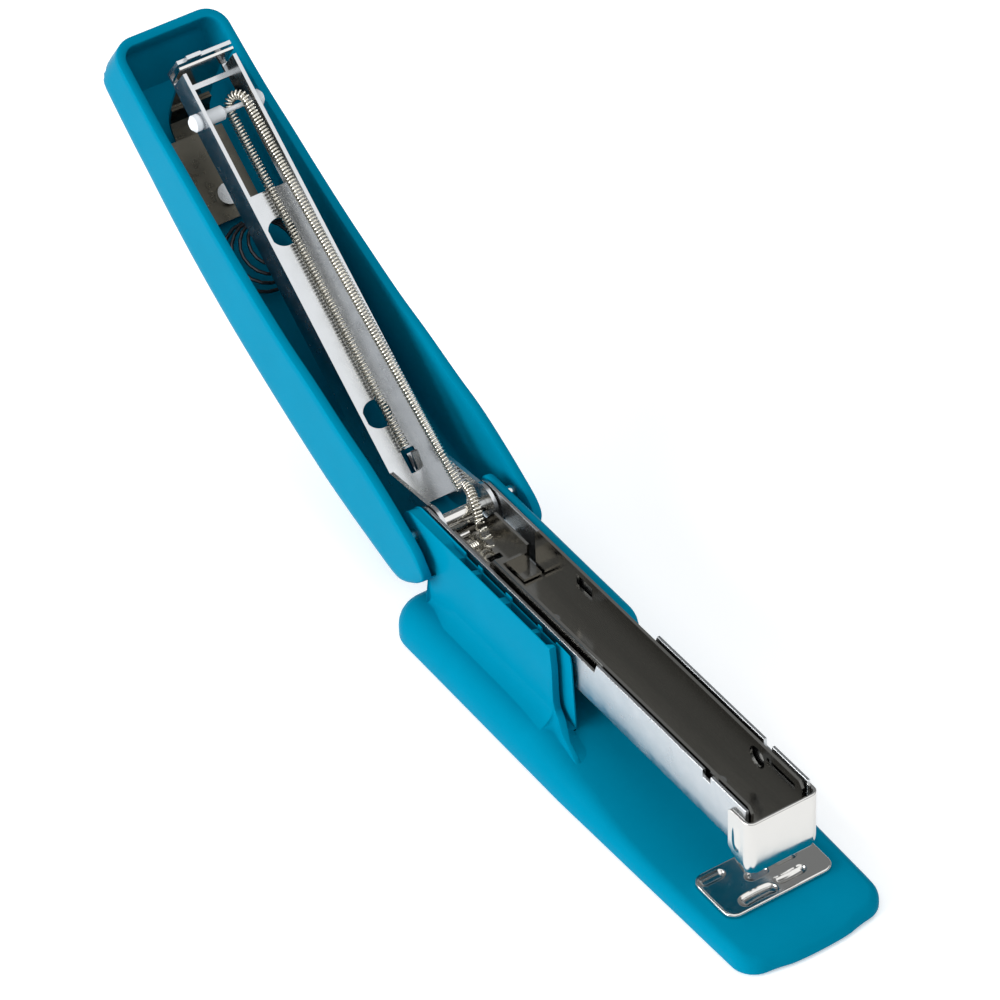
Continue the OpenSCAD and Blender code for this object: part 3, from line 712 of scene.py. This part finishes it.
def make_cover():
    """Thin-walled cover, open below, with a slot between its two ears at the hinge."""
    shape = Patches()
    # Each column runs down the outside, round the rim and up the inside, and ends at the line of
    # the slot. The far lists go on over the edge radius, and the top lists to the middle.
    near, far_out, far_in, top_out, top_in, ear_edge = [], [], [], [], [], []
    for x, y, nx, ny, kind in cover_stations():
        y = side_hw(x) if y is None else y
        zr, zt = float(rim(x)), float(roof(x, y))
        blend = min(1.0, max(0.0, (x - 92) / (ARC_X - 92)))
        r, tall = EDGE_R, max(0.02, zt - zr)
        rz = min(r, 0.45 * tall)
        ri, riz = r - WALL, max(0.01, min(r - WALL, 0.45 * tall - 0.2))
        draft = 0.5 * (1 if kind == "roof" else min(1.0, tall / 20)) * (1 - blend)
        split_out = math.acos(min(1, max(0, 1 - (SLOT_INSET - draft) / (r - draft))))
        split_in = math.acos(min(1, max(0, 1 - (SLOT_INSET - WALL) / ri)))

        def at(inset, z):
            return (x + nx * inset, y + ny * inset, z)

        def bent(inset, drop):
            px, py = x + nx * inset, y + ny * inset
            return (px, py, float(roof(px, py)) - drop)

        def outer(a):
            return chamfered(bent(draft + (r - draft) * (1 - math.cos(a)), rz * (1 - math.sin(a))))

        def inner(a):
            return chamfered(bent(WALL + ri * (1 - math.cos(a)), WALL + riz * (1 - math.sin(a))), WALL)

        lip = min(0.45, tall * 0.2)
        start = outer(0)[2]
        col = [outer(a) for a in np.linspace(split_out, 0, 6)]
        for t in np.linspace(0, 1, 9)[1:]:
            col.append(chamfered(at(draft * (1 - t), start + (zr + lip - start) * t)))
        col += [at(0.13, zr + lip * 0.3), at(0.45, zr), at(WALL - 0.45, zr), at(WALL - 0.13, zr + lip * 0.3)]
        stop = inner(0)[2]
        for t in np.linspace(0, 1, 9):
            col.append(chamfered(at(WALL, zr + lip + (max(stop, zr + lip) - zr - lip) * t), WALL))
        col += [inner(a) for a in np.linspace(0, split_in, 5)[1:]]
        near.append(col)
        if kind == "ear":
            ear_edge.append([col[0], col[-1]])
        else:
            far_out.append([outer(a) for a in np.linspace(split_out, math.pi / 2, 6)])
            far_in.append([inner(a) for a in np.linspace(split_in, math.pi / 2, 6)])
        if kind == "roof":
            if x == SLOT_X:
                ear_edge.append([col[0], col[-1]])
            edge = y - r
            ys = edge * (1 - np.linspace(0, 1, 9))
            top_out.append([chamfered((x, v, float(roof(x, v)))) for v in ys])
            top_in.append([chamfered((x, v, float(roof(x, v)) - WALL), WALL) for v in ys])
    shape.grid(near)
    shape.grid(far_out)
    shape.grid(far_in)
    shape.grid(top_out)
    shape.grid(top_in)
    shape.grid(ear_edge)
    shape.grid([far_out[0] + top_out[0][1:], far_in[0] + top_in[0][1:]])
    shape.closed(near[0])
    shape.mirrored()
    return shape


lid = make_cover()
piece("cover_moulding", lid.verts, lid.faces, opened, "handle", TEAL,
      replaces=["cover_shell"], smooth=35, weld=5e-6)

# ---------------------------------------------------------------- springs


COIL_R, COIL_PITCH, WIRE_R = 0.84, 0.72, 0.26


def half_turn():
    """Axis of the spring where it turns round the roller groove."""
    a = np.linspace(0, math.pi, 25)[:, None]
    centre, reach = np.array([93.7, 2.8, 10.5]), np.array([2.222, 0, 0])
    up = np.array([0, -1.37, 1.75])
    return centre + np.sin(a) * reach + np.cos(a) * up


left = np.concatenate([np.linspace((18, 1.43, 12.25), (93.6, 1.43, 12.25), 120), half_turn()])
right = np.linspace((93.6, 4.17, 8.72), (5, 4.17, 3.6), 130)
tail = [(-3.4, 3.7, 3.4), (-1.6, 3.3, 3.6), (0.6, 2.7, 3.1), (2.4, 2.2, 2.1), (3.8, 1.7, 1.0),
        (4.6, 1.4, 0.3)]
hook = [(4.6, 1.4, 0.3), (6.4, 1.0, -0.1), (8.4, 0.6, -0.4), (10, 0.2, -0.8)]
for name, path, turn_r, pitch, place, body, gone in (
    ("left_spring_coils", left, COIL_R, COIL_PITCH, opened, "liner", ["spring_left_leg", "spring_loop"]),
    ("right_spring_coils", right, COIL_R, COIL_PITCH, opened, "liner", ["spring_right_leg"]),
    ("spring_tail_coils", tail, COIL_R, COIL_PITCH, standing, "pusher", []),
    ("spring_tail_hook", hook, 1.0, 2.1, standing, "pusher", []),
):
    spring = tube(wound(path, turn_r, pitch, 12), WIRE_R, 6)
    piece(name, spring.verts, spring.faces, place, body, WIRE,
          replaces=gone, smooth=0, weld=1e-8)

# ---------------------------------------------------------------- camera and light


def camera():
    """Long lens, looking down at the open stapler from its near left."""
    azimuth, elevation, roll = (math.radians(a) for a in (-32.39, 41.04, -2.18))
    aim_x, away, aside, above, grow = 45, 915.45, -17.59, 26.78, 1.025
    focal_over_sensor = 5.00065
    back = Vector((math.cos(elevation) * math.cos(azimuth), math.cos(elevation) * math.sin(azimuth),
                   math.sin(elevation)))
    right = (-back).cross(Vector((0, 0, 1))).normalized()
    up = right.cross(-back)
    right, up = (right * math.cos(roll) + up * math.sin(roll), up * math.cos(roll) - right * math.sin(roll))
    place = Vector((aim_x, 0, 0)) + back * away + right * aside + up * above
    data = bpy.data.cameras.new("camera")
    data.sensor_width = 36
    data.lens = focal_over_sensor * data.sensor_width
    data.clip_start, data.clip_end = 0.05, 20
    obj = bpy.data.objects.new("camera", data)
    bpy.context.scene.collection.objects.link(obj)
    turn = Matrix((right, up, back)).transposed()
    obj.matrix_world = Matrix.Translation(Vector(PIN) + place * (grow * MM)) @ turn.to_4x4()
    bpy.context.scene.camera = obj


def area_light(name, place, target, size, power):
    """White rectangular light, turned to its target."""
    data = bpy.data.lights.new(name, "AREA")
    data.shape, data.size, data.size_y = "RECTANGLE", size[0], size[1]
    data.energy = power
    obj = bpy.data.objects.new(name, data)
    obj.location = place
    obj.rotation_euler = (Vector(target) - Vector(place)).to_track_quat("-Z", "Y").to_euler()
    bpy.context.scene.collection.objects.link(obj)


def studio():
    """Pale sky, two soft lights and a white floor just below the stapler."""
    bpy.context.scene.view_settings.view_transform = "Standard"
    world = bpy.data.worlds.new("studio")
    world.use_nodes = True
    sky = world.node_tree.nodes["Background"]
    sky.inputs["Color"].default_value = (0.95, 0.98, 1, 1)
    sky.inputs["Strength"].default_value = 0.28
    bpy.context.scene.world = world
    area_light("key", (-0.15, -0.95, 0.42), (0, 0, 0.05), (0.9, 0.5), 12.5)
    area_light("top", (0.65, 0.1, 1.1), (0.65, 0.1, 0), (1.9, 2.2), 15.5)
    half, floor_z = 6, -0.0002
    corners = [(half * i, half * j, floor_z) for i, j in ((-1, -1), (1, -1), (1, 1), (-1, 1))]
    mesh = bpy.data.meshes.new("floor")
    mesh.from_pydata(corners, [], [(0, 1, 2, 3)])
    floor = bpy.data.objects.new("floor", mesh)
    mesh.materials.append(material("pale_floor", (0.93, 0.935, 0.94), 0.6, bump=0.05, scale=60,
                                   tint=0.005, Emission_Color=(1, 1, 1, 1), Emission_Strength=0.3,
                                   Specular_IOR_Level=0.1))
    bpy.context.scene.collection.objects.link(floor)


camera()
studio()
